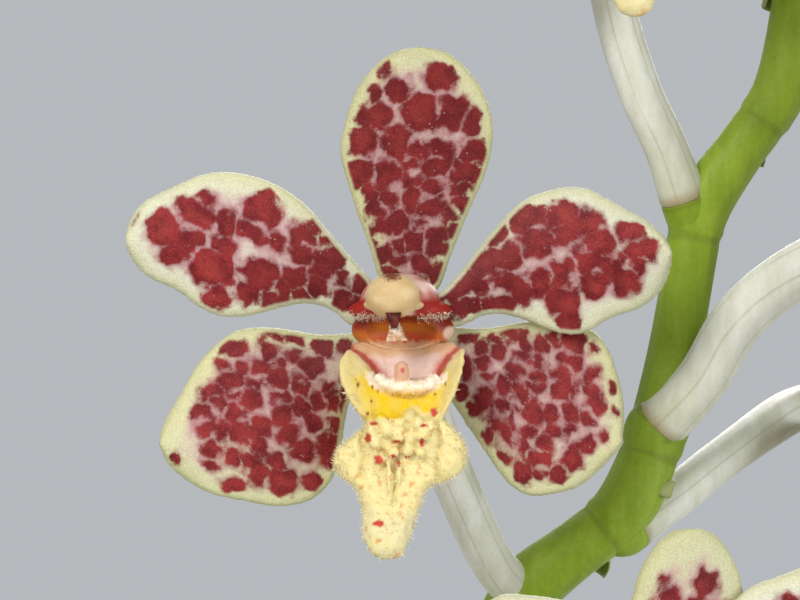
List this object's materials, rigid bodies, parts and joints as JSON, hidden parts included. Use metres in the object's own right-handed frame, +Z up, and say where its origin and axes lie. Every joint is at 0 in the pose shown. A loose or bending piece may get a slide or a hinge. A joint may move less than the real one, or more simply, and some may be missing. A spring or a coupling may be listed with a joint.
{
  "type": "potted orchid plant",
  "caption": "Orchid in a plain clay pot: upright stem with two ranks of strap leaves and one leaning spray of blotched flowers.",
  "frame": {"origin": "centre of the pot's base, on the surface it stands on", "axes": "+Z up along the stem; the front flower faces -Y; +X to the viewer's right"},
  "size_m": [0.3121, 0.1493, 0.4425],
  "materials": {
    "terracotta": "matte",
    "bark": "matte",
    "stem": "satin",
    "leaf": "satin",
    "root": "matte",
    "spike": "satin",
    "stalk": "satin",
    "tepal": "satin",
    "lip": "satin",
    "column": "satin",
    "anther_cap": "satin"
  },
  "bodies": {
    "root": {"pot": "terracotta", "bark_bed": "bark", "stem": "stem", "leaf_01": "leaf", "leaf_02": "leaf", "leaf_03": "leaf", "leaf_04": "leaf", "leaf_05": "leaf", "leaf_06": "leaf", "leaf_07": "leaf", "leaf_08": "leaf", "leaf_09": "leaf", "leaf_10": "leaf", "root_01": "root", "root_02": "root", "root_03": "root", "root_04": "root", "flower_spike": "spike", "flower_01_stalk": "stalk", "flower_01_blossom": "tepal", "flower_02_stalk": "stalk", "flower_02_blossom": "tepal", "flower_03_stalk": "stalk", "flower_03_blossom": "tepal", "flower_04_stalk": "stalk", "flower_04_dorsal_sepal": "tepal", "flower_04_left_petal": "tepal", "flower_04_right_petal": "tepal", "flower_04_left_lateral_sepal": "tepal", "flower_04_right_lateral_sepal": "tepal", "flower_04_lip": "lip", "flower_04_column": "column", "flower_04_anther_cap": "anther_cap", "flower_05_stalk": "stalk", "flower_05_blossom": "tepal", "flower_06_stalk": "stalk", "flower_06_blossom": "tepal", "flower_07_stalk": "stalk", "flower_07_blossom": "tepal", "flower_08_stalk": "stalk", "flower_08_blossom": "tepal", "flower_09_stalk": "stalk", "flower_09_blossom": "tepal", "flower_10_stalk": "stalk", "flower_10_blossom": "tepal", "flower_11_stalk": "stalk", "flower_11_blossom": "tepal", "bud_01": "tepal", "bud_02": "tepal", "bud_03": "tepal", "bud_04": "tepal", "bud_05": "tepal"}
  },
  "joints": []
}
